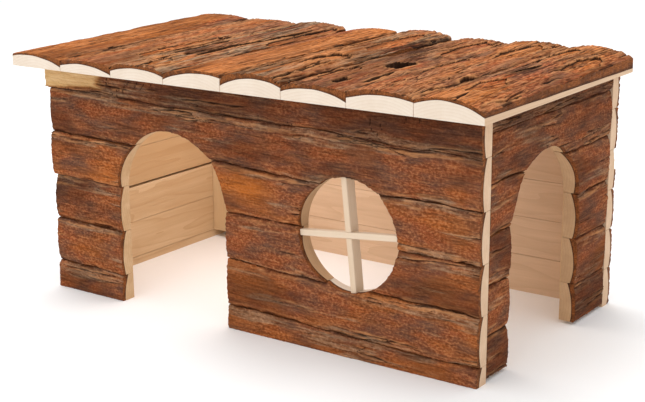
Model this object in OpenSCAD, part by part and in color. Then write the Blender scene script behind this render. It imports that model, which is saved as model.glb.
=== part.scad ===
// Rabbit house of half-round slabs with the bark left on. Four slab walls stand round corner posts under
// a flat slab roof. The front has an arched door and a round window with a wooden cross, and the right
// wall has a second arched door. Millimetres: X to the right, Y to the back, Z up. The origin is on the
// floor under the middle of the roof.

/* [Walls] */
// Length of the front and back walls
wall_l = 467; // [440:1:600]
// Depth over the front and back walls
wall_d = 253; // [225:1:320]
// Height of the walls
wall_h = 218.5; // [195:0.5:270]
// Thickness of a wall slab at its crown, bark included
wall_crown = 15; // [12:0.5:20]
// How much thinner a wall slab is at its long edges
wall_thin = 2; // [1:0.5:7]
// Gap between neighbouring slabs
slab_gap = 0.4; // [0.2:0.1:0.8]
// Gap between a side wall and the walls that it stands between
wall_gap = 0.3; // [0.1:0.1:0.6]

/* [Front wall] */
// Height of the cut-down slab at the bottom
front_bottom = 21.5; // [14:0.5:30]
// Height of the cut-down slab at the top
front_top = 25.5; // [16:0.5:34]
// Slope of the slabs in degrees, falling to the right
front_tilt = 1.3; // [0:0.1:2]
// How far the top slab stands past the others at the left end
top_proud = 5; // [0:0.5:12]

/* [Front door] */
// Width of the door
door_w = 128; // [100:1:145]
// Height of the door at the top of its arch
door_h = 171.5; // [150:0.5:185]
// Distance from the left end of the wall to the door
door_inset = 84.5; // [60:0.5:100]

/* [Window] */
// Diameter of the window
window_d = 99; // [80:1:112]
// Height of the middle of the window above the third joint, which runs behind its cross
window_rise = 1.7; // [-6:0.1:6]
// Distance from the right end of the wall to the middle of the window
window_inset = 125.5; // [95:0.5:135]

/* [Window cross] */
// Width of both bars, seen from the front
bar_w = 5.5; // [4:0.5:9]
// Depth of the upright bar
upright_depth = 12; // [9:0.5:12]
// Depth of the level bar, which lies in a notch in the upright
level_depth = 5.5; // [3:0.5:7]
// How far the cross is turned from upright, in degrees
cross_lean = 5.8; // [0:0.1:10]
// How far the bars' ends are let into the wall
bar_seat = 2; // [1:0.5:5]
// Clearance around a bar in its seat and in the notch
bar_clear = 0.2; // [0.1:0.1:0.4]

/* [Right wall] */
// Height of the lowest joint above the floor
right_bottom = 39; // [25:0.5:45]
// Height of the cut-down slab at the top
right_top = 13.5; // [10:0.5:30]
// Height of the wall's lower edge above the floor
right_lift = 3; // [0:0.5:8]
// Width of the side door
side_door_w = 126; // [100:1:134]
// Height of the side door at the top of its arch
side_door_h = 176; // [150:0.5:185]
// Distance from the face of the front wall to the side door
side_door_inset = 51.5; // [45:0.5:60]

/* [Left wall] */
// Height of the strip at the bottom
left_bottom = 8; // [6:0.5:25]
// Height of the cut-down slab at the top
left_top = 20.5; // [12:0.5:32]
// Width of the one joint that stands open
open_joint = 2.4; // [0.4:0.1:4]

/* [Back wall] */
// Height of the cut-down slab at the bottom
back_bottom = 36.8; // [20:0.1:45]
// Height of the cut-down slab at the top
back_top = 31.2; // [16:0.1:40]

/* [Roof] */
// Overhang of the roof past the left end of the walls
over_left = 25; // [8:0.5:40]
// Overhang past the right end
over_right = 8; // [4:0.5:40]
// Overhang past the front wall
over_front = 18.5; // [8:0.5:40]
// Overhang past the back wall
over_back = 8.5; // [4:0.5:40]
// Thickness of the thickest roof slab at its crown, at the back, bark included
roof_crown = 21.5; // [20:0.5:28]

/* [Corner posts] */
// Side of the square posts
post_w = 20; // [16:0.5:30]
// Height of the posts' lower ends above the floor
post_lift = 8; // [0:0.5:20]

/* [Nails] */
// Diameter of a nail
nail_d = 1.8; // [1.2:0.1:2.4]
// Diameter of a nail's head
head_d = 3.4; // [2.6:0.1:4.5]
// Thickness of a nail's head
head_t = 0.8; // [0.5:0.1:1.2]
// Clearance around a nail
nail_clear = 0.05; // [0.02:0.01:0.1]
// Depth of a nail in the slab that it holds, with its head under the bark
nail_hold = 7; // [4:0.5:8]
// Depth of a wall nail in a corner post
post_bite = 12; // [8:0.5:12]
// Depth of a roof nail in the top of a wall
roof_bite = 16; // [10:0.5:20]
// Distance from a nail's middle to the nearest free edge of a post
nail_edge = 4; // [3:0.5:6]
// Distance from a roof nail's middle to the inner face of a wall
roof_nail_edge = 5; // [3:0.5:7]

/* [Hidden] */
// Rows of slabs in each wall, and slabs in the roof
front_rows = 6;
back_rows = 6;
left_rows = 7;
right_rows = 6;
roof_slabs = 8;
// The left wall's slab under the open joint, and the front wall's joint that the window sits on
open_row = 3;
window_joint = 3;
// How much lower each roof slab's crown is at the back than the thickest one
crown_drop = [2, 3, 1.5, 3, 0, 3.5, 1, 1];
// How much each roof slab falls away from its crown to its left edge and to its right edge
edge_drop = [[1.5, 3], [1.5, 2], [3.5, 4], [5, 1], [6, 4.5], [2.5, 2], [4, 3.5], [4, 7.5]];
// How much thinner each roof slab is at the front than at the back
front_thin = [6.5, 6.5, 6, 3.5, 3, 2.5, 3, 3.5];
// Where a roof slab's bark is split or torn off: the slab, how deep, and the corners of the place, each as
// a share of the slab's length from the back and a share of its width from the left
torn = [
    [2, 2.5, [[0.857, 0.950], [0.757, 0.876], [0.518, 0.868], [0.236, 0.886], [0.518, 0.919],
        [0.757, 0.928]]],
    [2, 1.2, [[0.821, 0.757], [0.679, 0.709], [0.429, 0.773], [0.321, 1.055], [0.804, 1.055]]],
    [3, 4, [[0.793, 0.709], [0.664, 0.630], [0.529, 0.622], [0.457, 0.678], [0.357, 0.758],
        [0.150, 0.797], [0.357, 0.820], [0.457, 0.739], [0.529, 0.683], [0.664, 0.691]]],
    [3, 3, [[0.357, 0.217], [0.296, 0.161], [0.207, 0.114], [0.093, 0.064], [0.207, 0.166],
        [0.296, 0.213]]],
    [3, 3, [[0.821, 0.395], [0.754, 0.490], [0.671, 0.580], [0.754, 0.541]]],
    [3, 3, [[0.979, 0.773], [0.921, 0.768], [0.850, 0.805], [0.921, 0.826]]],
    [3, 1.6, [[0.750, 0.129], [0.571, 0.081], [0.429, 0.258], [0.536, 0.386], [0.714, 0.419],
        [0.839, 0.290]]],
    [3, 1.8, [[0.436, 0.853], [0.214, 0.862], [0.043, 0.902], [0.043, 1.055], [0.471, 1.055]]],
    [3, 1.5, [[0.950, 0.483], [0.857, 0.419], [0.836, 0.644], [0.900, 0.741], [0.993, 0.676]]],
    [5, 3, [[1.021, -0.056], [0.936, 0.064], [0.821, 0.097], [0.696, 0.048], [0.636, -0.056]]],
    [5, 3.5, [[0.996, 0.870], [0.925, 0.810], [0.868, 0.755], [0.786, 0.786], [0.714, 0.741],
        [0.786, 0.841], [0.868, 0.810], [0.925, 0.865]]],
    [5, 2.5, [[0.736, 0.483], [0.636, 0.419], [0.571, 0.531], [0.543, 0.709], [0.589, 0.870],
        [0.646, 0.805], [0.679, 0.644]]],
    [5, 1.8, [[0.536, 0.129], [0.321, 0.081], [0.143, 0.161], [0.107, 0.322], [0.286, 0.386],
        [0.500, 0.306]]],
    [5, 1.6, [[0.429, 0.612], [0.250, 0.548], [0.071, 0.644], [0.089, 0.805], [0.286, 0.870],
        [0.446, 0.773]]],
    [5, 1.6, [[0.957, 0.225], [0.821, 0.161], [0.714, 0.258], [0.750, 0.386], [0.921, 0.419]]],
    [6, 3.5, [[-0.018, -0.056], [-0.018, 0.145], [0.075, 0.177], [0.179, 0.113], [0.321, 0.177],
        [0.436, 0.113], [0.518, 0.056], [0.607, -0.056]]],
    [6, 6, [[0.650, 0.596], [0.604, 0.499], [0.554, 0.531], [0.511, 0.692], [0.536, 0.789],
        [0.629, 0.765]]],
    [6, 3, [[0.443, 0.258], [0.407, 0.345], [0.350, 0.580], [0.407, 0.396]]],
    [6, 3, [[0.943, 0.588], [0.900, 0.668], [0.850, 0.660], [0.850, 0.531], [0.893, 0.499]]],
    [6, 4, [[0.871, 0.886], [0.832, 0.833], [0.732, 0.816], [0.679, 0.821], [0.732, 0.874],
        [0.832, 0.890]]],
    [6, 1.8, [[0.857, 0.097], [0.714, 0.048], [0.643, 0.225], [0.714, 0.386], [0.875, 0.322]]],
    [6, 2, [[0.329, 0.644], [0.179, 0.580], [0.036, 0.676], [0.054, 0.870], [0.250, 0.934],
        [0.375, 0.805]]],
    [7, 3, [[0.743, 1.055], [0.721, 0.934], [0.671, 0.910], [0.629, 0.950], [0.600, 1.055]]],
    [7, 2.5, [[0.936, 0.902], [0.868, 0.918], [0.793, 0.966], [0.868, 0.963]]],
    [7, 1.4, [[0.714, 0.225], [0.536, 0.129], [0.393, 0.225], [0.429, 0.419], [0.643, 0.451]]],
    [7, 1.6, [[0.393, 0.580], [0.214, 0.483], [0.054, 0.612], [0.089, 0.805], [0.321, 0.837]]],
    [7, 1.3, [[0.946, 0.354], [0.839, 0.258], [0.768, 0.419], [0.821, 0.612], [0.936, 0.580]]],
    [8, 4, [[0.593, 0.338], [0.557, 0.327], [0.471, 0.391], [0.421, 0.451], [0.471, 0.462],
        [0.557, 0.398]]],
    [8, 2.5, [[0.914, 0.886], [0.879, 0.889], [0.804, 0.929], [0.757, 0.966], [0.804, 0.971],
        [0.879, 0.931]]],
    [8, 2.5, [[0.657, -0.056], [0.629, 0.081], [0.571, 0.145], [0.529, -0.056]]],
    [8, 1.6, [[0.393, 0.193], [0.214, 0.097], [0.071, 0.225], [0.107, 0.419], [0.321, 0.386]]],
    [8, 1.4, [[0.875, 0.386], [0.732, 0.274], [0.650, 0.451], [0.714, 0.644], [0.857, 0.612]]],
    [8, 1.5, [[0.429, 0.709], [0.250, 0.644], [0.143, 0.773], [0.214, 0.934], [0.411, 0.902]]]
];
// A row lower than this where it meets a post is glued and takes no nail
least_nailed = 16;
// How far a cutting shape runs past what it cuts
past = 5;
round_fn = 96;

roof_w = wall_l + over_left + over_right;
roof_d = wall_d + over_front + over_back;
roof_pitch = roof_w / roof_slabs;
wall_left = over_left - roof_w / 2;
wall_right = wall_left + wall_l;
wall_front = over_front - roof_d / 2;
wall_back = wall_front + wall_d;
inner_left = wall_left + wall_crown;
inner_right = wall_right - wall_crown;
inner_front = wall_front + wall_crown;
inner_back = wall_back - wall_crown;
side_l = inner_back - inner_front - 2 * wall_gap;
door_mid = door_inset + door_w / 2;
window_mid = wall_l - window_inset;
side_door_mid = side_door_inset + side_door_w / 2 - wall_crown - wall_gap;
bar_l = window_d + 2 * bar_seat;
// Both ends of the front wall with room to spare, along the wall's own frame
front_start = -top_proud - past;
front_end = wall_l + past;
// Places of the nails along the front and back walls and along the side walls
nail_off = post_w - nail_edge;
front_ends = [wall_crown + nail_off, wall_l - wall_crown - nail_off];
side_ends = [nail_off - wall_gap, side_l + wall_gap - nail_off];
// Heights of every wall's joints
front_joints = [for (i = [0 : front_rows]) joint(i, front_bottom, front_top, front_rows)];
back_joints = [for (i = [0 : back_rows]) joint(i, back_bottom, back_top, back_rows)];
left_joints = [for (i = [0 : left_rows]) joint(i, left_bottom, left_top, left_rows)];
right_joints = [for (i = [0 : right_rows]) joint(i, right_bottom, right_top, right_rows)];
// Height of the middle of the window, from the sloping joint that it sits on
window_z = front_joints[window_joint] - (window_mid - wall_l / 2) * tan(front_tilt) + window_rise;
bark_dark = "#7a4a2c";
bark_red = "#925a34";
pale_wood = "#efdcb8";
steel = "#b9bcc0";

// Height of the joint above row i of a wall, counted from 1 at the floor, halfway along the wall.
// The lowest and highest rows are cut down from slabs that reach past the wall.
function pitch(bottom, top, rows) = (wall_h - bottom - top) / (rows - 2);
function joint(i, bottom, top, rows) =
    i == 0 ? min(bottom - pitch(bottom, top, rows), -past) :
    i == rows ? max(wall_h - top + pitch(bottom, top, rows), wall_h + past) :
    bottom + (i - 1) * pitch(bottom, top, rows);

// Where the window parts row i: at the leaning upright, right of the middle below it and left of it above
function window_split(i) = window_mid + (i > window_joint ? -1 : 1) * window_d / 2 * sin(cross_lean);

// Cross section of a half-round slab: flat face on y = 0 or further below, and an arc through the heights
// of its first edge, its crown and its last edge. The arc may run on past both edges
module slab_section(width, first, crown, last, below = 0, wider = 0) {
    arc_y = (width * width / 4 + (first * first + last * last) / 2 - crown * crown)
        / (first + last - 2 * crown);
    arc_x = ((width * width + last * last - first * first) / 2 - arc_y * (last - first)) / width;
    intersection() {
        translate([-wider, -below]) square([width + 2 * wider, 2 * crown + below]);
        translate([arc_x, arc_y]) circle(r = norm([arc_x, arc_y - first]), $fn = round_fn);
    }
}

// A wall's slab in that wall's own frame: X along the wall, inner face on y = 0, bark towards -Y
module wall_slab(length, low, high, tilt = 0, lift = 0, proud = 0) {
    edge = wall_crown - wall_thin;
    intersection() {
        translate([length / 2, 0, 0]) rotate([0, tilt, 0])
            translate([-length, 0, low + slab_gap / 2]) rotate(180, [1, 0, 1])
                linear_extrude(2 * length) slab_section(high - low - slab_gap, edge, wall_crown, edge);
        translate([-proud, -wall_crown - past, lift])
            cube([length + proud, wall_crown + 2 * past, wall_h - lift]);
    }
}

// Space of an arched door, standing on the floor and centred on x = 0 of a wall's frame
module door_cut(width, height) {
    translate([0, past, 0]) rotate([90, 0, 0])
        linear_extrude(wall_crown + 2 * past)
            union() {
                translate([-width / 2, -past]) square([width, height - width / 2 + past]);
                translate([0, height - width / 2]) circle(d = width, $fn = round_fn);
            }
}

// The part of a wall's frame between two places along it
module stretch(from, to) {
    translate([from, -wall_crown - 2 * past, -past])
        cube([to - from, wall_crown + 4 * past, wall_h + 2 * past]);
}

// Each wall's own frame, set where the wall stands
module at_front() translate([wall_left, inner_front, 0]) children();
module at_back() translate([wall_right, inner_back, 0]) rotate([0, 0, 180]) children();
module at_right() translate([inner_right, inner_front + wall_gap, 0]) rotate([0, 0, 90]) children();
module at_left() translate([inner_left, inner_back - wall_gap, 0]) rotate([0, 0, -90]) children();

// A nail along Y, head towards -Y, with its head's side of the joint at y < 0
module nail(bite, grow = 0) {
    translate([0, bite + grow, 0]) rotate([90, 0, 0])
        cylinder(d = nail_d + 2 * grow, h = bite + nail_hold + 2 * grow, $fn = round_fn);
    translate([0, head_t - nail_hold + grow, 0]) rotate([90, 0, 0])
        cylinder(d = head_d + 2 * grow, h = head_t + 2 * grow, $fn = round_fn);
}

// Nails of one wall, in its frame: one through each row at each post that the row meets
module wall_nails(ends, joints, tilt, middle, grow = 0) {
    for (x = ends)
        for (i = [1 : len(joints) - 1]) {
            fall = (x - middle) * tan(tilt);
            low = max(joints[i - 1] - fall, post_lift);
            high = min(joints[i] - fall, wall_h);
            if (high - low > least_nailed)
                translate([x, 0, (low + high) / 2]) nail(post_bite, grow);
        }
}

module front_nail_set(grow = 0) at_front() wall_nails(front_ends, front_joints, front_tilt, wall_l / 2, grow);
module back_nail_set(grow = 0) at_back() wall_nails(front_ends, back_joints, 0, 0, grow);
module left_nail_set(grow = 0) at_left() wall_nails(side_ends, left_joints, 0, 0, grow);
module right_nail_set(grow = 0) at_right() wall_nails(side_ends, right_joints, 0, 0, grow);

// Roof nails: one at each end of each roof slab, down into the tops of the front and back walls
module roof_nail_set(grow = 0) {
    for (i = [0 : roof_slabs - 1]) {
        middle = (i + 0.5) * roof_pitch - roof_w / 2;
        x = max(wall_left + wall_crown, min(wall_right - wall_crown, middle));
        for (y = [inner_front - roof_nail_edge, inner_back + roof_nail_edge])
            translate([x, y, wall_h]) rotate([-90, 0, 0]) nail(roof_bite, grow);
    }
}

// The window's cross in the front wall's frame
module cross_frame() translate([window_mid, -upright_depth, window_z]) rotate([0, -cross_lean, 0]) children();
module upright_shape(grow = 0)
    translate([-bar_w / 2 - grow, -grow, -bar_l / 2 - grow])
        cube([bar_w + 2 * grow, upright_depth + 2 * grow, bar_l + 2 * grow]);
module level_shape(grow = 0)
    translate([-bar_l / 2 - grow, -grow, -bar_w / 2 - grow])
        cube([bar_l + 2 * grow, level_depth + 2 * grow, bar_w + 2 * grow]);

module window_upright() color(pale_wood) at_front() cross_frame()
    difference() {
        upright_shape();
        level_shape(bar_clear);
    }
module window_level_bar() color(pale_wood) at_front() cross_frame() level_shape();

// Row i of the front wall between two places along it, with the door, the window and the bars' seats cut
module front_piece(i, from, to) {
    proud = i == front_rows ? top_proud : 0;
    color(bark_red) difference() {
        at_front() intersection() {
            difference() {
                wall_slab(wall_l, front_joints[i - 1], front_joints[i], front_tilt, 0, proud);
                translate([door_mid, 0, 0]) door_cut(door_w, door_h);
                translate([window_mid, past, window_z]) rotate([90, 0, 0])
                    cylinder(d = window_d, h = wall_crown + 2 * past, $fn = round_fn);
                cross_frame() upright_shape(bar_clear);
                cross_frame() level_shape(bar_clear);
            }
            stretch(from, to);
        }
        front_nail_set(nail_clear);
        roof_nail_set(nail_clear);
    }
}

// Row i of the right wall between two places along it, with the side door cut
module right_piece(i, from, to) {
    color(bark_red) difference() {
        at_right() intersection() {
            difference() {
                wall_slab(side_l, right_joints[i - 1], right_joints[i], 0, right_lift);
                translate([side_door_mid, 0, 0]) door_cut(side_door_w, side_door_h);
            }
            stretch(from, to);
        }
        right_nail_set(nail_clear);
    }
}

// Row i of the left wall, which has no opening but one joint that stands open
module left_piece(i) {
    spare = i == open_row ? open_joint - slab_gap : 0;
    color(bark_dark) difference() {
        at_left() wall_slab(side_l, left_joints[i - 1], left_joints[i] - spare);
        left_nail_set(nail_clear);
    }
}

// Row i of the back wall, which has no opening
module back_piece(i) {
    color(bark_dark) difference() {
        at_back() wall_slab(wall_l, back_joints[i - 1], back_joints[i]);
        back_nail_set(nail_clear);
        roof_nail_set(nail_clear);
    }
}

// The round of roof slab i, which falls to the front, over a length and a width that are still to be cut
module roof_round(i, sunk = 0, wider = 0) {
    crown = roof_crown - crown_drop[i - 1] - sunk;
    fall = atan(front_thin[i - 1] / roof_d);
    rotate([90 + fall, 0, 0]) translate([0, 0, -2 * past]) linear_extrude(roof_d + 4 * past)
        slab_section(roof_pitch - slab_gap, crown - edge_drop[i - 1][0], crown,
            crown - edge_drop[i - 1][1], past, wider);
}

// Roof slab i, counted from the left, lying from front to back on the walls, with its torn bark
module roof_slab(i) {
    width = roof_pitch - slab_gap;
    color(bark_red) difference() {
        translate([(i - 1) * roof_pitch - roof_w / 2 + slab_gap / 2, roof_d / 2, wall_h]) difference() {
            intersection() {
                roof_round(i);
                translate([0, -roof_d, 0]) cube([width, roof_d, 2 * roof_crown]);
            }
            for (place = torn)
                if (place[0] == i)
                    difference() {
                        linear_extrude(2 * roof_crown)
                            polygon([for (corner = place[2]) [corner[1] * width, -corner[0] * roof_d]]);
                        roof_round(i, place[1], past);
                    }
        }
        roof_nail_set(nail_clear);
    }
}

// A square post in an inside corner, nailed to both walls there
module corner_post(x, y) {
    color(pale_wood) difference() {
        translate([x, y, post_lift]) cube([post_w, post_w, wall_h - post_lift]);
        front_nail_set(nail_clear);
        back_nail_set(nail_clear);
        left_nail_set(nail_clear);
        right_nail_set(nail_clear);
    }
}

roof_slab(1);  // roof_slab_1
roof_slab(2);  // roof_slab_2
roof_slab(3);  // roof_slab_3
roof_slab(4);  // roof_slab_4
roof_slab(5);  // roof_slab_5
roof_slab(6);  // roof_slab_6
roof_slab(7);  // roof_slab_7
roof_slab(8);  // roof_slab_8
front_piece(1, front_start, door_mid);  // front_slab_1_left
front_piece(1, door_mid, front_end);  // front_slab_1_right
front_piece(2, front_start, door_mid);  // front_slab_2_left
front_piece(2, door_mid, front_end);  // front_slab_2_right
front_piece(3, front_start, door_mid);  // front_slab_3_left
front_piece(3, door_mid, window_split(3));  // front_slab_3_middle
front_piece(3, window_split(3), front_end);  // front_slab_3_right
front_piece(4, front_start, door_mid);  // front_slab_4_left
front_piece(4, door_mid, window_split(4));  // front_slab_4_middle
front_piece(4, window_split(4), front_end);  // front_slab_4_right
front_piece(5, front_start, front_end);  // front_slab_5
front_piece(6, front_start, front_end);  // front_slab_6
right_piece(1, -past, side_door_mid);  // right_slab_1_front
right_piece(1, side_door_mid, side_l + past);  // right_slab_1_rear
right_piece(2, -past, side_door_mid);  // right_slab_2_front
right_piece(2, side_door_mid, side_l + past);  // right_slab_2_rear
right_piece(3, -past, side_door_mid);  // right_slab_3_front
right_piece(3, side_door_mid, side_l + past);  // right_slab_3_rear
right_piece(4, -past, side_door_mid);  // right_slab_4_front
right_piece(4, side_door_mid, side_l + past);  // right_slab_4_rear
right_piece(5, -past, side_l + past);  // right_slab_5
right_piece(6, -past, side_l + past);  // right_slab_6
left_piece(1);  // left_slab_1
left_piece(2);  // left_slab_2
left_piece(3);  // left_slab_3
left_piece(4);  // left_slab_4
left_piece(5);  // left_slab_5
left_piece(6);  // left_slab_6
left_piece(7);  // left_slab_7
back_piece(1);  // back_slab_1
back_piece(2);  // back_slab_2
back_piece(3);  // back_slab_3
back_piece(4);  // back_slab_4
back_piece(5);  // back_slab_5
back_piece(6);  // back_slab_6
corner_post(inner_left, inner_front);  // post_front_left
corner_post(inner_right - post_w, inner_front);  // post_front_right
corner_post(inner_left, inner_back - post_w);  // post_back_left
corner_post(inner_right - post_w, inner_back - post_w);  // post_back_right
window_upright();
window_level_bar();
color(steel) roof_nail_set();  // roof_nails
color(steel) front_nail_set();  // front_nails
color(steel) back_nail_set();  // back_nails
color(steel) left_nail_set();  // left_nails
color(steel) right_nail_set();  // right_nails
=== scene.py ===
# %% [markdown]
# # A rabbit house of bark slabs
# The house is built from slabs: the outermost boards of a log, flat on the sawn side and round on the
# bark side. Roof and walls are such slabs laid edge to edge, nailed round four corner posts. This lesson
# loads the finished construction as a fixed frame and gives every slab its real bark, end grain and cut.

# %% Load the construction
import math
from functools import partialmethod

import bpy
import numpy as np
from mathutils import Matrix, Vector
from mathutils.bvhtree import BVHTree


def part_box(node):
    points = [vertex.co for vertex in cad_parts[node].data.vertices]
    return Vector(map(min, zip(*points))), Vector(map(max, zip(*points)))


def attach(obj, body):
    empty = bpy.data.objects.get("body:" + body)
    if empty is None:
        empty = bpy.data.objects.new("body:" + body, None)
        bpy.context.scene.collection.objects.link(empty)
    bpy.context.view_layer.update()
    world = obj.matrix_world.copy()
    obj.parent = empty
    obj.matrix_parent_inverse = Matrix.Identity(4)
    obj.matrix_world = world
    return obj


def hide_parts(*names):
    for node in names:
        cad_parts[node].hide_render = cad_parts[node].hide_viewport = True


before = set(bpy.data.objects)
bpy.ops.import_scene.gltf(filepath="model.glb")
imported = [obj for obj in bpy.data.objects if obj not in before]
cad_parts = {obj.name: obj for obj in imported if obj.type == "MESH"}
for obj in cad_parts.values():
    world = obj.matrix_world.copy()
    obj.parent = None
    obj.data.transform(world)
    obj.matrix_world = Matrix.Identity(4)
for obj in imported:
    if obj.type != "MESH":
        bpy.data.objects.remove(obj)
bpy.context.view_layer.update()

MM = 0.001

# %% [markdown]
# ## Sizes
# All shapes below are worked out in millimetres and turned into metres when a mesh is made. The outer
# sizes are read from the frame's own boxes, so the looks can't drift from the construction. The few sizes
# that a box can't tell, such as the slope of the front slabs, are repeated here by name.

# %% Sizes of the walls and openings


def box_mm(node):
    """Lowest and highest corner of a piece of the construction, in millimetres."""
    low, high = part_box(node)
    return np.array(low) / MM, np.array(high) / MM


# Thickness of a wall slab, with its bark and without, at its first edge, its crown and its last edge
WALL_OUTER = (14.0, 15.6, 13.6)
WALL_WOOD = (9.5, 11.8, 6.8)
SLAB_GAP = 0.4
FRONT_TILT = math.radians(1.3)
DOOR_TOP = 171.5
SIDE_DOOR_TOP = 176.0
WINDOW_R = 49.5
WINDOW_INSET = 125.5
WINDOW_Z = 106.5
CROSS_LEAN = math.radians(5.8)
# Height of a wall's lowest joint, what is left of its top slab under the roof, and its number of rows
FRONT_JOINTS = (21.5, 25.5, 6)
BACK_JOINTS = (36.8, 31.2, 6)
LEFT_JOINTS = (8.0, 20.5, 7)
RIGHT_JOINTS = (39.0, 13.5, 6)

wall_top = box_mm("roof_slab_1")[0][2]
back_low, back_high = box_mm("back_slab_1")
wall_left, wall_right = back_low[0], back_high[0]
inner_back = back_low[1]
inner_front = box_mm("front_slab_1_right")[1][1]
right_low, right_high = box_mm("right_slab_6")
left_high = box_mm("left_slab_4")[1]
door_left = box_mm("front_slab_1_left")[1][0] - wall_left
door_right = box_mm("front_slab_1_right")[0][0] - wall_left
side_near = box_mm("right_slab_1_front")[1][1] - right_low[1]
side_far = box_mm("right_slab_1_rear")[0][1] - right_low[1]
right_lift = box_mm("right_slab_1_rear")[0][2]
wall_length = wall_right - wall_left
side_length = right_high[1] - right_low[1]
print(f"front wall {wall_length:.1f} mm long, {wall_top:.1f} mm high")
print(f"front door {door_right - door_left:.1f} mm wide, side door {side_far - side_near:.1f} mm wide")

# %% [markdown]
# ## Noise for bark
# Bark is a rough surface with one clear direction: fibres, flakes and cracks all run along the log. A
# smooth gradient noise, stretched along the slab, gives each of them at its own scale. It is written with
# arrays here because the mesh itself gets the relief, so that its outline shows it from every side.

# %% Smooth noise on arrays
NOISE_CELLS = 64


def noise(x, y, seed):
    """Gradient noise from about -1 to 1, with one bump for each unit of x and of y."""
    turn = np.random.default_rng(seed).uniform(0, 2 * math.pi, (NOISE_CELLS, NOISE_CELLS))
    i, j = np.floor(x).astype(int), np.floor(y).astype(int)
    fx, fy = x - i, y - j
    wx, wy = (f * f * f * (f * (f * 6 - 15) + 10) for f in (fx, fy))

    def corner(di, dj):
        angle = turn[(i + di) % NOISE_CELLS, (j + dj) % NOISE_CELLS]
        return np.cos(angle) * (fx - di) + np.sin(angle) * (fy - dj)

    low = corner(0, 0) * (1 - wx) + corner(1, 0) * wx
    high = corner(0, 1) * (1 - wx) + corner(1, 1) * wx
    return 1.5 * (low * (1 - wy) + high * wy)


def layered(x, y, seed, layers=4):
    """Noise with finer and weaker noise laid on it."""
    return sum(noise(x * 2**k, y * 2**k, seed + 17 * k) / 2**k for k in range(layers))


def ramp(value, low, high):
    """0 below low, 1 above high, and a smooth rise between."""
    part = np.clip((value - low) / (high - low), 0, 1)
    return part * part * (3 - 2 * part)


print("noise spans", [round(float(f(noise(*np.mgrid[:9:.1, :9:.1], 1))), 2) for f in (np.min, np.max)])

# %% Lines and neighbours on a grid


def thin_lines(field, s, t, half):
    """Lines where a field passes zero: 1 in their middle, falling off within half, in millimetres."""
    rise_s = np.gradient(field, axis=0) / np.maximum(np.abs(np.gradient(s, axis=0)), 0.05)
    rise_t = np.gradient(field, axis=1) / np.maximum(np.abs(np.gradient(t, axis=1)), 0.05)
    return np.exp(-((field / (np.hypot(rise_s, rise_t) * half + 1e-6)) ** 2))


def among(field, reach, choose):
    """The mean or the largest value among each point's neighbours, in a square of 2 * reach + 1 points."""
    for axis in (0, 1):
        padded = np.pad(field, [(reach * (a == axis),) * 2 for a in (0, 1)], mode="edge")
        shifts = [range(k, k + field.shape[axis]) for k in range(2 * reach + 1)]
        field = choose([np.take(padded, shift, axis=axis) for shift in shifts], axis=0)
    return field


# %% [markdown]
# ## The relief of one slab's bark
# On the real slabs two surfaces alternate. Where the old outer bark has come off, the reddish inner bark
# shows, fairly smooth with fine fibres. Where it stayed, it is grey-brown, flaky and split by dark cracks.
# The relief follows that: a cover of old bark in ragged steps, cracks along it, chipped long edges, and
# fibres everywhere. The main torn places of the roof are in the construction, and the relief takes them
# over from there. The function also hands back masks for the colours, so colour and shape always agree.
# Each noise in it is divided by the size of its bumps along and across the log, in millimetres.

# %% Bark relief in millimetres
SEAM_HALF = 1.8


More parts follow.
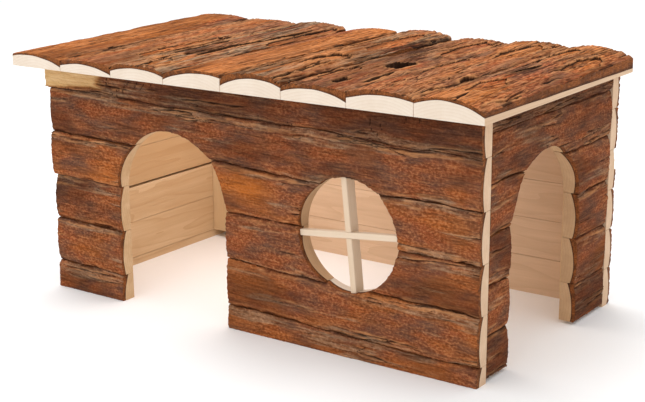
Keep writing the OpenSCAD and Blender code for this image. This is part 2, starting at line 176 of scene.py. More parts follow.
def bark_relief(s, t, x, width, look, torn, seed):
    """Height of the bark's face over its round, and masks of old bark, of painted shade in hollows
    and cracks, and of a painted highlight on raised edges.
    s and t run along and across the wall, x over the slab's full width, and torn is a depth."""
    across = 2 * x / width - 1
    run = s / look["long"]
    bend = t + 1.6 * noise(run / 45, t / 20, seed) + 0.4 * noise(run / 12, t / 5, seed + 20)
    line = layered(run / 120, bend / 11, seed + 4, 2) + 0.05 * layered(run / 9, t / 3, seed + 21, 2)
    first, last = look["edge"]
    cover = layered(run / 90, bend / 14, seed + 1) + look["old"]
    cover += first * ramp(-across, 0.3, 1) + last * ramp(across, 0.3, 1)
    cover += 0.35 * np.exp(-((line / 0.2) ** 2)) - 0.6 * ramp(torn, 0.5, 1.2)
    old = ramp(cover, 0.0, 0.3)
    flakes = layered(run / 26, bend / 5.5, seed + 2, 3)
    steps = np.floor(flakes * 2.5) / 2.5 + 0.3 * flakes
    fibres = layered(run / 26, bend / 2.2, seed + 3, 3)
    grit = layered(run / 9, t / 2.6, seed + 11, 2)
    broken = ramp(noise(run / 60, t / 18, seed + 5), -0.1, 0.25)
    half = look["crack"] * (0.4 + 0.9 * ramp(noise(s / 13, t / 7, seed + 22), -0.4, 0.6))
    cracks = thin_lines(line, s, t, half) * broken * (0.1 + 0.9 * old)
    small = thin_lines(layered(run / 45, bend / 5, seed + 7, 4), s, t, 0.6 * half)
    small *= (0.3 + 0.7 * old) * ramp(noise(run / 30, t / 9, seed + 8), -0.1, 0.2)
    side = 40.0 * (across > 0)
    chips = ramp(layered(run / 24, t / 60 + side, seed + 12, 3), -0.15, 0.4)
    chips *= ramp(np.abs(across) + 0.05 * fibres, 0.8, 1.0)
    cross = thin_lines(noise(s / 9, t / 22, seed + 16), s, t, 0.5) * look.get("cross", 0.0)
    cross *= ramp(noise(s / 35, t / 20, seed + 18), 0.15, 0.4)
    seam = np.where(across < 0, look["seam"][0], look["seam"][1])
    seam = seam * ramp(SEAM_HALF - np.minimum(x, width - x), 0, SEAM_HALF)
    seam *= 0.25 + 0.75 * ramp(noise(run / 40, t / 60 + side, seed + 15), -0.25, 0.2)
    height = 0.35 * layered(s / 110, t / 35, seed + 6, 2) + (0.2 + 0.2 * old) * fibres + 0.12 * grit
    height += old * look["thick"] * (0.35 + 0.75 * steps)
    height -= look["deep"] * (cracks + 0.4 * small) + look["chip"] * chips + seam + cross + torn
    # Painted shadow: deep torn places are darkened inside.
    painted_gash_shadow = 0.75 * among(ramp(torn + 0.8 * fibres, 1.6, 4.4), 1, np.max)
    dark = np.maximum.reduce([cracks, 0.7 * small, 0.8 * cross, seam / 2.0, painted_gash_shadow])
    # Painted shade: low points, cracks, joints, gashes and chips are darkened together.
    close, wide = among(height, 1, np.mean), among(height, 5, np.mean)
    dip = np.maximum((close - height) / 0.5, (wide - height) / 1.4)
    cracks_and_painted_shade = np.clip(np.maximum.reduce([dip, dark, 0.75 * chips]), 0, 1) * look["dark"]
    # Painted highlight: points higher than their neighbours are lightened.
    painted_ridge_highlight = np.clip((height - wide - 0.1) / 0.7, 0, 1)
    return height, np.stack([old * look["grey"], cracks_and_painted_shade, painted_ridge_highlight], axis=-1)


# %% [markdown]
# ## A slab as a closed mesh
# Each slab is a grid laid over its bark face: one direction along the log and one across. Straight ends,
# ends cut by a round door or window, and edges notched by them are all the same grid, only with other
# borders, so no boolean is needed and the bark runs cleanly up to every cut. Under the grid's rim lies a
# rim at the wood's surface and one at the sawn face. The band between the first two is the cut edge of
# the bark, the band below it is end grain or sawn edge, and one flat face closes the inside.

# %% Slab section and grid
STEP_ALONG, STEP_ACROSS = 1.4, 0.7
SETTLE_ROUNDS = 6
ON_JOINT = 0.01


def arc_height(x, width, first, crown, last):
    """Height of the arc through a slab's first edge, its crown and its last edge."""
    y0 = (width**2 / 4 + (first**2 + last**2) / 2 - crown**2) / (first + last - 2 * crown)
    x0 = ((width**2 + last**2 - first**2) / 2 - y0 * (last - first)) / width
    radius = np.hypot(x0, y0 - first)
    return y0 + np.sqrt(np.maximum(radius**2 - (x - x0) ** 2, 0))


def border(rows, cols):
    """Row and column of every point on a grid's rim, once round."""
    down, over = np.arange(rows), np.arange(1, cols - 1)
    i = np.r_[down, np.full(cols - 2, rows - 1), down[::-1], np.zeros(cols - 2, int)]
    j = np.r_[np.zeros(rows, int), over, np.full(rows, cols - 1), over[::-1]]
    return i, j


def slab_grid(slab, coarse):
    """A grid between a slab's borders: its shares and its places along and across. The borders depend on
    each other, so a few rounds settle them. Also tells where the long edges are joints and not cuts."""
    rows = int(slab["span"] / (STEP_ALONG * coarse)) + 2
    cols = int(slab["width"] / (STEP_ACROSS * coarse)) + 2
    a, b = np.meshgrid(np.linspace(0, 1, rows), np.linspace(0, 1, cols), indexing="ij")
    s = slab["middle"] + 0 * a
    for _ in range(SETTLE_ROUNDS):
        low, high = slab["low"](s), slab["high"](s)
        t = low + b * (high - low)
        start, end = slab["start"](t), slab["end"](t)
        s = start + a * (end - start)
    foot = slab["foot"](s)
    at_low = np.abs(low - foot) < ON_JOINT
    at_high = np.abs(high - foot - slab["width"]) < ON_JOINT
    return a, b, s, t, at_low, at_high


print(f"a wall slab 40 mm wide is {arc_height(20.0, 40.0, *WALL_OUTER):.1f} mm thick at its crown")

# %% What a mesh keeps for its materials
MAP_BANDS = ((0.0, 0.54), (0.55, 0.74), (0.75, 0.86), (0.87, 1.0))
GRAIN_SHIFT = 900


def store(mesh, name, values):
    """Keeps one value or vector for each vertex under a name that the materials read."""
    kind, field = ("FLOAT", "value") if values.ndim == 1 else ("FLOAT_VECTOR", "vector")
    mesh.attributes.new(name, kind, "POINT").data.foreach_set(field, values.ravel().astype(np.float32))


def store_patterns(mesh, look, seed, rim, s, t, across, body, rim_wood, masks, bare):
    """Stores places in the log, bark masks, tone, bare places, the outside and the shade of a slab."""
    def everywhere(field):
        return np.concatenate([field.reshape(-1, *field.shape[2:]), field[rim], field[rim]])

    below = np.zeros(len(rim_wood))
    places = np.column_stack([everywhere(s), everywhere(across), np.r_[body.ravel(), rim_wood, below]])
    shift = np.random.default_rng(seed + 10).uniform(-GRAIN_SHIFT, GRAIN_SHIFT, 3) * (1, 0, 0)
    tone = np.full(s.shape, look["tone"])
    for mid_s, mid_t, long, wide, extra in look.get("places", ()):
        tone += extra * np.exp(-(((s - mid_s) / long) ** 2) - ((t - mid_t) / wide) ** 2)
    store(mesh, "grain", (places + shift) * MM)
    store(mesh, "outside", np.r_[np.ones(s.size), below, below])
    store(mesh, "shade", np.full(len(places), look.get("shade", 0.0)))
    for name, field in (("bark_masks", masks), ("tone", tone), ("bare", bare)):
        store(mesh, name, everywhere(field))


def lay_out(mesh, a, b, top_faces, rim, steps):
    """A flat map for painted copies: bark face, sawn face and two bands, each in its own strip."""
    face, sawn, bark_band, wood_band = MAP_BANDS
    ends = np.stack([a.ravel(), face[0] + (face[1] - face[0]) * b.ravel()], -1)
    parts = [ends[top_faces.ravel()]]
    round_it = np.r_[0, np.cumsum(np.r_[steps[:-1], steps[:-1].mean()])]
    round_it /= round_it[-1]
    along = np.stack([round_it[:-1], round_it[:-1], round_it[1:], round_it[1:]], -1)
    for low, high in (bark_band, wood_band):
        across = np.broadcast_to((low, high, high, low), along.shape)
        parts.append(np.stack([along, across], -1).reshape(-1, 2))
    base = np.stack([a[rim], sawn[0] + (sawn[1] - sawn[0]) * b[rim]], -1)
    parts.append(base[::-1])
    flat = np.concatenate(parts).astype(np.float32)
    mesh.uv_layers.new(name="OFBake").uv.foreach_set("vector", flat.ravel())


# %% Slab mesh
LEAST_BARK, LEAST_BARE, LEAST_WOOD = 1.8, 0.3, 1.5
BELOW_WOOD = 2.0
RIM_DROP = 0.2
SLAB_MATERIALS = ("bark_edge", "end_wood", "sawn_wood", "cut_wood", "cream_wood")
BARK_FACE, BARK_CUT, END_GRAIN, SAWN, ROUND_CUT, CREAM = range(6)


def band(upper, lower):
    """Faces between two rings of points."""
    return np.stack([upper, lower, np.roll(lower, -1), np.roll(upper, -1)], -1).tolist()


def slab_mesh(name, panel, slab, look, seed, coarse):
    """One slab with its bark. panel places it; slab gives its borders and section."""
    a, b, s, t, at_low, at_high = slab_grid(slab, coarse)
    rows, cols = s.shape
    width = slab["width"]
    x = t - slab["foot"](s)
    body = arc_height(x, width, *slab["outer"]) + slab["swell"](s)
    wood = arc_height(x, width, *slab["wood"]) + 0.3 * noise(s / 40, t / 15, seed + 14)
    wood -= slab["wood_sink"](s)
    height, masks = bark_relief(s, t, x, width, look, slab["torn"](s, t), seed)
    face = np.maximum(body + height, wood - BELOW_WOOD)
    bare = look["bare"](s, t) if "bare" in look else np.zeros(s.shape)
    face = face * (1 - bare) + (body + look.get("bare_level", 0.0) + 0.2 * height) * bare
    rim = i, j = border(rows, cols)
    rim_s, rim_t, rim_bare = s[rim], t[rim], bare[rim] > 0.5
    rim_wood = np.maximum(wood[rim], LEAST_WOOD)
    face[rim] = np.maximum(face[rim] - RIM_DROP, rim_wood + np.where(rim_bare, LEAST_BARE, LEAST_BARK))
    chip = 0.25 + 0.7 * layered(rim_t / 4 + 40, rim_s / 4, seed + 9, 2)
    s_out = s.copy()
    t_out = t + slab["wander"][0](s) * at_low * (1 - b) ** 4 + slab["wander"][1](s) * at_high * b**4
    s_out[rim] += chip * ((i == 0) * 1.0 - (i == rows - 1))
    t_out[rim] += chip * ((j == 0) * 1.0 - (j == cols - 1))
    top = panel(s_out, np.maximum(t_out, 0), face).reshape(-1, 3)
    points = np.concatenate([top, panel(rim_s, rim_t, rim_wood), panel(rim_s, rim_t, 0 * rim_s)])

    grid = np.arange(s.size).reshape(rows, cols)
    corners = grid[:-1, :-1], grid[1:, :-1], grid[1:, 1:], grid[:-1, 1:]
    top_faces = np.stack([corner.ravel() for corner in corners], -1)
    wood_ring = s.size + np.arange(len(i))
    base_ring = wood_ring + len(i)
    bands = band(grid[rim], wood_ring) + band(wood_ring, base_ring)
    faces = [*top_faces.tolist(), *bands, base_ring[::-1].tolist()]
    at_end = np.isin(i, (0, rows - 1)) & (i == np.roll(i, -1))
    kinds = np.concatenate([
        np.full(len(top_faces), BARK_FACE),
        np.where(rim_bare & np.roll(rim_bare, -1), END_GRAIN, BARK_CUT),
        np.where(at_end, np.where(i == 0, *slab["caps"]), slab["side"]),
        [slab["inside"]],
    ])
    mesh = bpy.data.meshes.new(name)
    mesh.from_pydata((points * MM).tolist(), [], faces)
    for material in (slab["bark"], *SLAB_MATERIALS):
        mesh.materials.append(materials[material])
    mesh.polygons.foreach_set("material_index", kinds.astype(np.int32))
    mesh.polygons.foreach_set("use_smooth", np.arange(len(faces)) < len(top_faces))
    store_patterns(mesh, look, seed, rim, s, t, x - width / 2, body, rim_wood, masks, bare)
    lay_out(mesh, a, b, top_faces, rim, np.hypot(*np.diff([rim_s, rim_t], append=0)))
    return mesh


def new_piece(mesh):
    """Puts a mesh into the scene under its own name."""
    piece = bpy.data.objects.new(mesh.name, mesh)
    bpy.context.scene.collection.objects.link(piece)
    return piece


def build_slab(node, panel, slab, look, seed, coarse=1.0):
    """Makes a slab, ties it to its node in the construction and tells how far their boxes differ."""
    piece = new_piece(slab_mesh(node.replace("slab", "bark_slab"), panel, slab, look, seed, coarse))
    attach(piece, "root")
    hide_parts(node)
    made = np.array([v.co for v in piece.data.vertices]) / MM
    low, high = box_mm(node)
    off = np.abs(np.r_[made.min(0) - low, made.max(0) - high]).max()
    print(f"{piece.name}: {len(piece.data.polygons)} faces, box off by {off:.1f} mm")


# %% [markdown]
# ## Shared finishes as node groups
# Three effects come back in several materials. Streaks are fine lines along the grain, for fibres in bark
# and for figure in wood. Rings are the yearly rings round the log's core: one solid pattern, so it shows as
# arcs on a cut end and as long lines on a sawn face. Blotches are slow changes of colour. Each is a
# node group with named inputs, built once and placed in every material with its own values.

# %% Nodes written as sums


def plug(tree, node, inputs):
    """Fills a node's sockets, each with a plain value or with the wire of another node."""
    for key, value in inputs.items():
        if isinstance(value, Wire):
            tree.links.new(value.socket, node.inputs[key])
        else:
            node.inputs[key].default_value = value


def add(tree, kind, inputs=None, output=0, **settings):
    """A new node with its settings and inputs, as the wire from one of its outputs."""
    node = tree.nodes.new("ShaderNode" + kind)
    for key, value in settings.items():
        setattr(node, key, value)
    plug(tree, node, inputs or {})
    return Wire(tree, node.outputs[output])


class Wire:
    """One output of a node. What is done with it makes a new node in the same tree."""

    def __init__(self, tree, socket):
        self.tree, self.socket = tree, socket

    def calc(self, operation, *others, **settings):
        """The result of a sum with other wires or values."""
        inputs = dict(enumerate((self, *others)))
        return add(self.tree, "Math", inputs, operation=operation, **settings)

    __add__ = partialmethod(calc, "ADD")
    __sub__ = partialmethod(calc, "SUBTRACT")
    __mul__ = partialmethod(calc, "MULTIPLY")
    __truediv__ = partialmethod(calc, "DIVIDE")

    def span(self, low, high, to_low=0.0, to_high=1.0):
        """A value moved from one range to another, smoothly and without passing its ends."""
        inputs = {"Value": self, "From Min": low, "From Max": high, "To Min": to_low, "To Max": to_high}
        return add(self.tree, "MapRange", inputs, interpolation_type="SMOOTHSTEP")

    def mix(self, first, second):
        """Two colours mixed, with this value as the second one's share."""
        inputs = {0: self, 6: first, 7: second}
        return add(self.tree, "Mix", inputs, 2, data_type="RGBA", clamp_factor=True)

    def scaled(self, scale):
        """A place with each of its three numbers multiplied."""
        return add(self.tree, "VectorMath", {0: self, 1: scale}, operation="MULTIPLY")

    def part(self, number):
        """One of a place's three numbers."""
        return add(self.tree, "SeparateXYZ", {0: self}, number)


def rgb(*levels):
    """A colour for a shader, from red, green and blue as they look on a screen, from 0 to 255."""
    parts = [v / 255 for v in levels]
    return (*(v / 12.92 if v <= 0.04045 else ((v + 0.055) / 1.055) ** 2.4 for v in parts), 1.0)


# %% The three groups


def new_group(name, output, **inputs):
    """A node group's tree, its output node, and the wires of its inputs: a place, then named values."""
    tree = bpy.data.node_groups.new(name, "ShaderNodeTree")
    tree.interface.new_socket(name="Place", in_out="INPUT", socket_type="NodeSocketVector")
    for label, value in inputs.items():
        socket = tree.interface.new_socket(name=label, in_out="INPUT", socket_type="NodeSocketFloat")
        socket.default_value = value
    tree.interface.new_socket(name=output, in_out="OUTPUT", socket_type="NodeSocketFloat")
    given = tree.nodes.new("NodeGroupInput").outputs
    wires = [Wire(tree, given[label]) for label in ("Place", *inputs)]
    return tree, tree.nodes.new("NodeGroupOutput"), *wires


def stretched_group(name, output, rough, low, high, **inputs):
    """Noise drawn out along the first axis of the grain."""
    tree, out, place, scale, length, detail = new_group(name, output, **inputs)
    scales = add(tree, "CombineXYZ", {0: scale / length, 1: scale, 2: scale})
    texture = {"Vector": place.scaled(scales), "Scale": 1.0, "Roughness": rough, "Detail": detail}
    plug(tree, out, {output: add(tree, "TexNoise", texture).span(low, high)})
    return tree


def rings_group(name, output, **inputs):
    """Yearly rings round a core that lies below the slab's sawn face."""
    tree, out, place, depth, width, waver = new_group(name, output, **inputs)
    slow = add(tree, "TexNoise", {"Vector": place.scaled((5.0, 30.0, 30.0)), "Scale": 1.0, "Detail": 2.0})
    side, down = place.part(1), place.part(2) + depth
    radius = (side * side + down * down).calc("SQRT") + (slow - 0.5) * waver
    plug(tree, out, {output: (radius / width).calc("FRACT").calc("POWER", 3.0)})
    return tree


groups = {
    "streaks": stretched_group(
        "Grain streaks", "Streak", 0.6, 0.3, 0.7, Scale=400.0, Length=18.0, Detail=4.0),
    "rings": rings_group("Yearly rings", "Late wood", Depth=0.055, Width=0.0026, Waver=0.003),
    "blotches": stretched_group(
        "Slow blotches", "Patch", 0.5, 0.32, 0.68, Scale=40.0, Length=4.0, Detail=3.0),
}


def use(group, place, **values):
    """One of the groups, placed in the material that a place belongs to."""
    return add(place.tree, "Group", {"Place": place} | values, node_tree=groups[group])


print("node groups:", [g.name for g in groups.values()])

# %% [markdown]
# ## Bark
# Inner bark runs from red-brown to orange, changed slab by slab, with fibres as dark and light lines. Old
# bark is grey-brown over it. Cracks, joints, hollows, gashes and chipped edges go nearly black: partly
# the own dark of cracks and joints, partly painted shade where little light gets in. Raised edges get a
# lighter painted highlight. The walls' bark is a calmer one than the roof's, with shorter fibres and
# softer patches, so the one recipe is made twice. The masks come from the relief.

# %% Bark materials
materials = {}
DARK_FIBRE = rgb(78, 40, 22)


def new_material(name):
    """A new material's node tree and shader."""
    materials[name] = bpy.data.materials.new(name)
    materials[name].use_nodes = True
    tree = materials[name].node_tree
    return tree, tree.nodes["Principled BSDF"]


def stored(tree, name, output="Fac"):
    """What the mesh keeps for each vertex under a name."""
    return add(tree, "Attribute", None, output, attribute_name=name)


def bump(height, distance, strength=1.0):
    """Normals of a fine relief that the mesh is too coarse for."""
    return add(height.tree, "Bump", {"Height": height, "Distance": distance, "Strength": strength})


def bark_material(name, short, dash, figure, grit, clouds, fray, dull, bright):
    """Bark face: inner bark, old bark, painted shade in hollows and cracks, a painted highlight on raised
    edges, and bare wood where the bark is gone.
    short shortens the patterns and dash is the length of a speck. figure, grit and clouds are the
    strength of fibres, specks and broad dark patches, and fray roughens the edges of pale and dark
    places. dull and bright colour the inner bark."""
    tree, shader = new_material(name)
    place = stored(tree, "grain", "Vector").scaled((short, 1, 1))
    old, cracks_and_painted_shade, painted_ridge_highlight = (stored(tree, "bark_masks", "Vector").part(k) for k in range(3))
    tone, bare = stored(tree, "tone"), stored(tree, "bare")
    fibre = use("streaks", place, Scale=850.0, Length=22.0)
    strand = use("streaks", place, Scale=360.0, Length=16.0, Detail=8.0)
    speck = use("streaks", place, Scale=580.0, Length=dash, Detail=6.0)
    split = use("streaks", place, Scale=170.0, Length=20.0, Detail=2.0)
    patch, hue, cloud = (use("blotches", place, Scale=scale) for scale in (42.0, 75.0, 24.0))
    hairline = (split - 0.5).calc("ABSOLUTE").span(0.03, 0.18, figure, 0.0) * patch.span(0.2, 0.7)
    warmth = tone.calc("ADD", (patch - 0.5) * 0.7, use_clamp=True)
    uneven = (cloud + hue).span(0.5, 1.5, 0.5 * grit, 1.2 * grit)
    inner = warmth.mix(hue.mix(dull, bright), rgb(200, 112, 46))
    inner = strand.span(0.0, 0.9, 0.6 * figure, 0.0).mix(inner, DARK_FIBRE)
    inner = fibre.span(0.45, 1.0, 0.0, 0.45 * figure).mix(inner, rgb(212, 138, 84))
    inner = (speck.span(0.0, 0.6, 0.55, 0.0) * uneven).mix(inner, DARK_FIBRE)
    inner = (speck.span(0.5, 1.0, 0.0, 0.35) * uneven).mix(inner, rgb(218, 152, 102))
    outer = strand.mix(rgb(84, 60, 44), rgb(174, 144, 114))
    outer = speck.span(0.4, 1.0, 0.0, 0.45).mix(outer, rgb(202, 176, 146))
    colour = (old * (patch + strand).span(0.5, 1.5, 0.15, 0.9)).mix(inner, outer)
    # Painted highlight on raised edges.
    colour = (painted_ridge_highlight * 0.65).mix(colour, rgb(210, 146, 94))
    colour = cloud.span(0.0, 0.6, clouds, 0.0).mix(colour, rgb(64, 33, 18))
    frayed = (strand - 0.5) * fray + tone
    colour = frayed.span(1.0, 2.0, 0.0, 0.6).mix(colour, rgb(222, 146, 92))
    colour = frayed.span(-0.8, 0.0, 0.8, 0.0).mix(colour, rgb(58, 32, 20))
    colour = (hairline * 0.65).mix(colour, rgb(54, 29, 17))
    # Painted shade in hollows, gashes and chips, over the own dark of cracks and joints.
    colour = cracks_and_painted_shade.span(0.1, 0.85, 0.0, 0.95).mix(colour, rgb(34, 18, 10))
    naked = strand.mix(rgb(224, 188, 138), rgb(206, 164, 110))
    colour = bare.span(0.02, 0.8, 0.0, 0.75).mix(colour, rgb(176, 124, 70))
    plug(tree, shader, {
        "Base Color": bare.span(0.45, 1.0).mix(colour, naked),
        "Roughness": fibre.span(0.0, 1.0, 1.0, 0.85),
        "Specular IOR Level": 0.06,
        "Normal": bump(fibre * 0.6 + (strand + speck) - hairline, 0.0008, 0.8),
    })


def bark_edge_material():
    """The bark's own cut edge: rust brown with darker layers, and a dark line next to the wood."""
    tree, shader = new_material("bark_edge")
    place = stored(tree, "grain", "Vector")
    layer = use("streaks", place, Scale=900.0, Length=5.0)
    colour = layer.mix(rgb(112, 62, 30), rgb(164, 96, 46))
    colour = use("blotches", place, Scale=150.0).span(0.3, 1.0, 0.0, 0.6).mix(colour, rgb(78, 44, 24))
    plug(tree, shader, {
        "Base Color": stored(tree, "outside").span(0.05, 0.45, 0.75, 0.0).mix(colour, rgb(62, 34, 18)),
        "Roughness": layer.span(0.0, 1.0, 0.9, 0.78),
        "Specular IOR Level": 0.2,
        "Normal": bump(layer, 0.0006),
    })


bark_material("roof_bark", short=1.0, dash=5.0, figure=0.9, grit=1.4, clouds=0.4, fray=1.0,
              dull=rgb(142, 102, 80), bright=rgb(190, 90, 44))
bark_material("wall_bark", short=1.7, dash=2.7, figure=0.5, grit=0.8, clouds=0.45, fray=0.1,
              dull=rgb(108, 74, 60), bright=rgb(156, 83, 48))
bark_edge_material()
print("bark materials:", sorted(materials))

# %% [markdown]
# ## Sawn wood
# The slabs are pale softwood. Fresh end grain is almost white with faint ring lines and the rough nap of a
# saw cut. The sawn faces inside are a little darker and show long figure, and some boards are darker
# than others. The back wall's inside and the ends at the corners have a cream tone. Posts and window
# sticks are planed, and the round cuts of doors and window are a little darker. All six finishes are
# the same recipe with other colours and strengths.

# %% Wood materials


def wood_material(name, pale, dark, ring, figure, nap, rough, waver):
    """Softwood: rings, figure along the grain, slow patches and a sawn nap. Some boards are darker, and the
    upright window stick is darker with painted shade.
    """
    tree, shader = new_material(name)
    place = stored(tree, "grain", "Vector")
    late = use("rings", place, Waver=waver)
    streak = use("streaks", place, Scale=520.0, Length=40.0)
    broad = use("streaks", place, Scale=90.0, Length=22.0, Detail=3.0)
    patch = use("blotches", place, Scale=26.0)
    colour = pale
    shares = broad * figure, late * ring, patch * 0.25, streak * (figure * 0.5), stored(tree, "shade")
    for share in shares:
        colour = share.mix(colour, dark)
    plug(tree, shader, {
        "Base Color": colour,
        "Roughness": streak.span(0.0, 1.0, rough, rough - 0.12),
        "Specular IOR Level": 0.3,
        "Normal": bump(streak + late * 0.6, nap, 0.6),
    })


# Pale and dark colour, strength of rings and figure, depth of the nap, roughness, waver of the rings
WOODS = {
    "end_wood": (rgb(232, 218, 202), rgb(208, 184, 158), 0.3, 0.15, 0.0003, 0.85, 0.003),
    "sawn_wood": (rgb(219, 188, 150), rgb(180, 138, 92), 0.42, 0.4, 0.0002, 0.8, 0.012),
    "cut_wood": (rgb(202, 166, 128), rgb(166, 128, 90), 0.3, 0.3, 0.0003, 0.85, 0.003),
    "cream_wood": (rgb(226, 194, 163), rgb(190, 154, 120), 0.35, 0.3, 0.0003, 0.85, 0.012),
    "stick_wood": (rgb(228, 210, 188), rgb(206, 176, 144), 0.25, 0.3, 0.0002, 0.7, 0.003),
    "post_wood": (rgb(220, 190, 150), rgb(192, 156, 114), 0.3, 0.3, 0.0002, 0.72, 0.003),
}
for name, values in WOODS.items():
    wood_material(name, *values)
print("wood materials:", sorted(WOODS))

# %% [markdown]
# ## Nails
# The nails are under the bark and never show, but they are part of the house, so they keep their own
# pieces and get a bright drawn-wire finish with the faint lines that drawing leaves.

# %% Nail material
NAIL_NODES = ("roof_nails", "front_nails", "back_nails", "left_nails", "right_nails")
tree, shader = new_material("nail_wire")
place = add(tree, "TexCoord", None, "Object")
line = add(tree, "TexNoise", {"Vector": place, "Scale": 3000.0, "Detail": 3.0})
plug(tree, shader, {
    "Base Color": line.mix(rgb(150, 152, 156), rgb(205, 207, 210)),
    "Roughness": line.span(0.2, 0.8, 0.28, 0.45),
    "Metallic": 1.0,
})
for node in NAIL_NODES:
    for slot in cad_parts[node].material_slots:
        slot.link = "OBJECT"
        slot.material = materials["nail_wire"]
print("wire finish on", len(NAIL_NODES), "groups of nails")

# %% [markdown]
# ## Where each wall stands
# A wall is drawn in its own flat frame: distance along it, height, and depth out from the sawn face. One
# small function per wall turns those into places in the house. The roof uses the same three numbers, with
# its slabs running from back to front.

# %% Wall frames, joints and arches


def panel_at(origin, along, across, out):
    """A function that places points given along, across and out from a wall's sawn face."""
    origin, along, across, out = (np.array(v, float) for v in (origin, along, across, out))

    def place(s, t, d):
        return origin + s[..., None] * along + t[..., None] * across + d[..., None] * out

    return place


up = (0, 0, 1)
front_panel = panel_at((wall_left, inner_front, 0), (1, 0, 0), up, (0, -1, 0))
back_panel = panel_at((wall_right, inner_back, 0), (-1, 0, 0), up, (0, 1, 0))
right_panel = panel_at((right_low[0], right_low[1], 0), (0, 1, 0), up, (1, 0, 0))
left_panel = panel_at((left_high[0], left_high[1], 0), (0, -1, 0), up, (-1, 0, 0))


def joint_heights(bottom, top, rows):
    """Heights of a wall's joints halfway along it, with the uncut reach of its first and last slabs."""
    pitch = (wall_top - bottom - top) / (rows - 2)
    inside = [bottom + i * pitch for i in range(rows - 1)]
    return [inside[0] - pitch, *inside, inside[-1] + pitch]


FAR = 1e3


def chord(offset, radius):
    """Half of a circle's chord, at a distance from the circle's middle."""
    return np.sqrt(np.maximum(radius**2 - offset**2, 0))


def arch_half(t, width, top):
    """Half the width of an arched door at a height."""
    return chord(np.maximum(t - (top - width / 2), 0), width / 2)


def arch_over(s, middle, width, top):
    """Height of a door's arch over a place along the wall, and far below the floor outside it."""
    rise = chord(s - middle, width / 2)
    return np.where(rise > 0, top - width / 2 + rise, -FAR)


def joint_wander(seed, row):
    """How far the bark strays over the joints below and above a row. Neighbours stray alike."""
    def stray(joint):
        def at(s):
            place = 0 * s + joint + 0.5
            return 1.6 * noise(s / 70, place, seed) + 0.8 * noise(s / 21, place, seed + 1)

        return at

    return stray(row - 1), stray(row)


print("front joints at", [round(float(z), 1) for z in joint_heights(*FRONT_JOINTS)[1:-1]], "mm")

# %% [markdown]
# ## A slab's borders and its look
# A slab is described by a few functions and values: where its edges and ends run, its section, and which
# finish each face gets. A straight slab comes first, and every wall then changes what differs. The look
# says how warm the bark is, how much old bark is left, how thick it is, and how deep cracks and chips go.

# %% Straight slabs and lists of looks
LOOK_COLUMNS = ("tone", "old", "edge", "thick", "deep", "chip")


def steady(value):
    """A function that gives the same value at every place."""
    return lambda place: value + 0 * place


def plain_borders(low, high, start, end, tilt=0.0, middle=0.0):
    """Borders of a straight slab between two joints, which may slope."""
    width = high - low - SLAB_GAP

    def foot(s):
        return low + SLAB_GAP / 2 - (s - middle) * math.tan(tilt)

    return dict(
        foot=foot, low=foot, high=lambda s: foot(s) + width, width=width,
        start=steady(start), end=steady(end), span=end - start, middle=(start + end) / 2,
        outer=WALL_OUTER, wood=WALL_WOOD, swell=steady(0), wood_sink=steady(0),
        wander=(steady(0), steady(0)), torn=lambda s, t: 0 * s,
        bark="wall_bark", caps=(CREAM, CREAM), side=SAWN, inside=SAWN,
    )


def cut_off(slab, floor):
    """Cuts a row off at the floor and at the roof, and hands back the joints it had before."""
    low, high = slab["low"], slab["high"]
    slab["low"] = lambda s: np.maximum(low(s), floor)
    slab["high"] = lambda s: np.minimum(high(s), wall_top)
    return low, high


def list_looks(rows, **shared):
    """Looks from short rows of values, with what they share."""
    return [dict(zip(LOOK_COLUMNS, row), **shared) for row in rows]


# %% [markdown]
# ## Roof slabs
# Eight slabs lie side by side from back to front. Each has its own thickness, its own lean and its own
# bark: the left ones have lost most of the old bark, the fourth is bright orange, and the fifth and
# sixth keep thick grey plates with deep gashes, painted dark inside as painted shadow. The looks of all
# eight stand in one short list, and a second list sets their broad pale and dark places: middle along and
# across, reach along and across, and strength. The narrow dark place along the sixth slab's left edge is a
# painted shadow under the fifth slab's edge. The joints on the right drift a little to the side towards the
# front. The gashes and flaked places are found by shining rays down on the solids, with the rays' feet
# shaken a little along and across the grain, so that the solids' straight outlines turn ragged.

# %% Sizes and looks of the roof slabs
ROOF_OUTER = ((13.0, 13.6, 10), (10.5, 12, 10), (10.5, 13.8, 10), (10, 15.2, 14.4),
              (12.5, 18.4, 14), (12.5, 15.2, 13), (13.4, 17.4, 14), (13.4, 17.2, 9.8))
ROOF_WOOD = ((9.0, 10.8, 3.3), (5.5, 8.3, 2), (6, 10.6, 6.2), (4.3, 12.4, 11.2),
             (5.2, 14, 9.5), (6.8, 11.5, 4.3), (8.3, 13.3, 10.8), (10.5, 14.9, 5.5))
REAR_SWELL = (6.5, 6.5, 6, 3.5, 3, 2.5, 3, 3.5)
REAR_THIN = (0, 0, 0, 0, 0, 0, 0, 2.0)
FRONT_DRIFT = (0, 0, 0, -0.5, 0.8, 1.9, 4.0, 4.0, 3.5)
ROOF_GREY = (0.5, 0.6, 1.0, 0.4, 0.9, 0.4, 0.35, 0.35)
ROOF_SEAM = 1.6
ROOF_LOOKS = list_looks((
    (0.62, -0.45, (0.0, 0.4), 0.6, 1.2, 0.6),
    (0.58, -0.10, (0.4, 0.5), 0.8, 1.5, 0.9),
    (0.42, 0.25, (0.5, 0.5), 1.0, 1.8, 1.1),
    (1.15, -0.60, (0.5, 0.3), 0.6, 1.4, 0.9),
    (0.66, 0.25, (0.4, 0.4), 1.0, 1.8, 1.1),
    (0.32, 0.30, (0.5, 0.3), 1.1, 1.8, 1.1),
    (0.50, 0.15, (0.3, 0.4), 0.9, 1.6, 1.0),
    (0.42, -0.05, (0.4, 0.1), 0.9, 1.5, 0.7),
), crack=1.35, dark=1.0, long=1.6)
